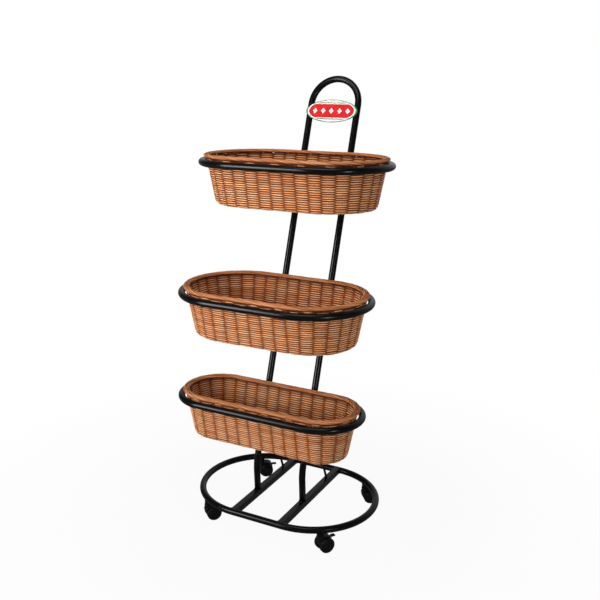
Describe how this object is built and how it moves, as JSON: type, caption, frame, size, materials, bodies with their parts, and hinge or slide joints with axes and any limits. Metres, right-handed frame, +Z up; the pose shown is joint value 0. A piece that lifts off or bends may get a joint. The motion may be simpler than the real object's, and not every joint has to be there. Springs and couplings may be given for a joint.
{
  "type": "basket display rack",
  "caption": "Free-standing black tube rack on swivel casters with stacked oval rings that hold lift-out wicker baskets and a small oval sign under the arched top.",
  "frame": {"origin": "on the floor, under the middle of the rack's overall width and depth", "axes": "+Z up, -Y the front where the baskets and the sign face are, +X to the right seen from the front"},
  "size_m": [0.642, 0.6438, 1.4478],
  "materials": {
    "black_powder_coat": "satin black powder coat",
    "zinc_plated_steel": "dull zinc plate",
    "black_nylon": "moulded satin black",
    "white_enamel": "smooth enamel paint",
    "black_rubber": "matt",
    "honey_wicker": "varnished woven willow",
    "tan_wicker": "varnished twisted willow"
  },
  "bodies": {
    "frame": {"base_ring": "black_powder_coat", "cross_tube_left": "black_powder_coat", "cross_tube_right": "black_powder_coat", "upright_frame": "black_powder_coat", "basket_ring_top": "black_powder_coat", "basket_ring_middle": "black_powder_coat", "basket_ring_bottom": "black_powder_coat", "ring_stub_top_left": "black_powder_coat", "ring_stub_top_right": "black_powder_coat", "ring_stub_middle_left": "black_powder_coat", "ring_stub_middle_right": "black_powder_coat", "stay_rod_left": "black_powder_coat", "stay_rod_right": "black_powder_coat", "sign_panel": "white_enamel", "sign_saddle_left": "black_rubber", "sign_saddle_right": "black_rubber", "caster_socket_front_left": "black_powder_coat", "caster_stem_front_left": "zinc_plated_steel", "caster_socket_front_right": "black_powder_coat", "caster_stem_front_right": "zinc_plated_steel", "caster_socket_rear_left": "black_powder_coat", "caster_stem_rear_left": "zinc_plated_steel", "caster_socket_rear_right": "black_powder_coat", "caster_stem_rear_right": "zinc_plated_steel"},
    "caster_front_left": {"caster_hood_front_left": "black_nylon", "caster_axle_front_left": "zinc_plated_steel"},
    "wheel_front_left_left": {"caster_wheel_front_left_left": "black_nylon"},
    "wheel_front_left_right": {"caster_wheel_front_left_right": "black_nylon"},
    "caster_front_right": {"caster_hood_front_right": "black_nylon", "caster_axle_front_right": "zinc_plated_steel", "brake_pin_front_right": "zinc_plated_steel"},
    "wheel_front_right_left": {"caster_wheel_front_right_left": "black_nylon"},
    "wheel_front_right_right": {"caster_wheel_front_right_right": "black_nylon"},
    "brake_front_right": {"brake_lever_front_right": "black_nylon"},
    "caster_rear_left": {"caster_hood_rear_left": "black_nylon", "caster_axle_rear_left": "zinc_plated_steel", "brake_pin_rear_left": "zinc_plated_steel"},
    "wheel_rear_left_left": {"caster_wheel_rear_left_left": "black_nylon"},
    "wheel_rear_left_right": {"caster_wheel_rear_left_right": "black_nylon"},
    "brake_rear_left": {"brake_lever_rear_left": "black_nylon"},
    "caster_rear_right": {"caster_hood_rear_right": "black_nylon", "caster_axle_rear_right": "zinc_plated_steel"},
    "wheel_rear_right_left": {"caster_wheel_rear_right_left": "black_nylon"},
    "wheel_rear_right_right": {"caster_wheel_rear_right_right": "black_nylon"},
    "basket_top": {"basket_top_wall": "honey_wicker", "basket_top_base": "honey_wicker", "basket_top_border": "tan_wicker"},
    "basket_middle": {"basket_middle_wall": "honey_wicker", "basket_middle_base": "honey_wicker", "basket_middle_border": "tan_wicker"},
    "basket_bottom": {"basket_bottom_wall": "honey_wicker", "basket_bottom_base": "honey_wicker", "basket_bottom_border": "tan_wicker"}
  },
  "joints": [
    {"name": "swivel_front_left", "type": "hinge", "parent": "frame", "child": "caster_front_left", "pos_m": [-0.21011, -0.21356, 0.05], "axis": [0, 0, 1], "continuous": true},
    {"name": "spin_front_left_left", "type": "hinge", "parent": "caster_front_left", "child": "wheel_front_left_left", "pos_m": [-0.19951, -0.20092, 0.025], "axis": [0.766, -0.6428, 0], "continuous": true},
    {"name": "spin_front_left_right", "type": "hinge", "parent": "caster_front_left", "child": "wheel_front_left_right", "pos_m": [-0.19951, -0.20092, 0.025], "axis": [0.766, -0.6428, 0], "continuous": true},
    {"name": "swivel_front_right", "type": "hinge", "parent": "frame", "child": "caster_front_right", "pos_m": [0.21011, -0.21356, 0.05], "axis": [0, 0, 1], "continuous": true},
    {"name": "spin_front_right_left", "type": "hinge", "parent": "caster_front_right", "child": "wheel_front_right_left", "pos_m": [0.21886, -0.19957, 0.025], "axis": [0.848, -0.5299, 0], "continuous": true},
    {"name": "spin_front_right_right", "type": "hinge", "parent": "caster_front_right", "child": "wheel_front_right_right", "pos_m": [0.21886, -0.19957, 0.025], "axis": [0.848, -0.5299, 0], "continuous": true},
    {"name": "brake_press_front_right", "type": "hinge", "parent": "caster_front_right", "child": "brake_front_right", "pos_m": [0.22408, -0.19121, 0.04354], "axis": [-0.848, 0.5299, 0], "range_deg": [0, 18]},
    {"name": "swivel_rear_left", "type": "hinge", "parent": "frame", "child": "caster_rear_left", "pos_m": [-0.21011, 0.14334, 0.05], "axis": [0, 0, 1], "continuous": true},
    {"name": "spin_rear_left_left", "type": "hinge", "parent": "caster_rear_left", "child": "wheel_rear_left_left", "pos_m": [-0.19643, 0.15257, 0.025], "axis": [0.5592, -0.829, 0], "continuous": true},
    {"name": "spin_rear_left_right", "type": "hinge", "parent": "caster_rear_left", "child": "wheel_rear_left_right", "pos_m": [-0.19643, 0.15257, 0.025], "axis": [0.5592, -0.829, 0], "continuous": true},
    {"name": "brake_press_rear_left", "type": "hinge", "parent": "caster_rear_left", "child": "brake_rear_left", "pos_m": [-0.18826, 0.15808, 0.04354], "axis": [-0.5592, 0.829, 0], "range_deg": [0, 18]},
    {"name": "swivel_rear_right", "type": "hinge", "parent": "frame", "child": "caster_rear_right", "pos_m": [0.21011, 0.14334, 0.05], "axis": [0, 0, 1], "continuous": true},
    {"name": "spin_rear_right_left", "type": "hinge", "parent": "caster_rear_right", "child": "wheel_rear_right_left", "pos_m": [0.22312, 0.1535, 0.025], "axis": [0.6157, -0.788, 0], "continuous": true},
    {"name": "spin_rear_right_right", "type": "hinge", "parent": "caster_rear_right", "child": "wheel_rear_right_right", "pos_m": [0.22312, 0.1535, 0.025], "axis": [0.6157, -0.788, 0], "continuous": true},
    {"name": "lift_out_top", "type": "slide", "parent": "frame", "child": "basket_top", "axis": [0, 0, 1], "range_m": [0, 0.15]},
    {"name": "lift_out_middle", "type": "slide", "parent": "frame", "child": "basket_middle", "axis": [0, 0, 1], "range_m": [0, 0.15]},
    {"name": "lift_out_bottom", "type": "slide", "parent": "frame", "child": "basket_bottom", "axis": [0, 0, 1], "range_m": [0, 0.15]}
  ]
}
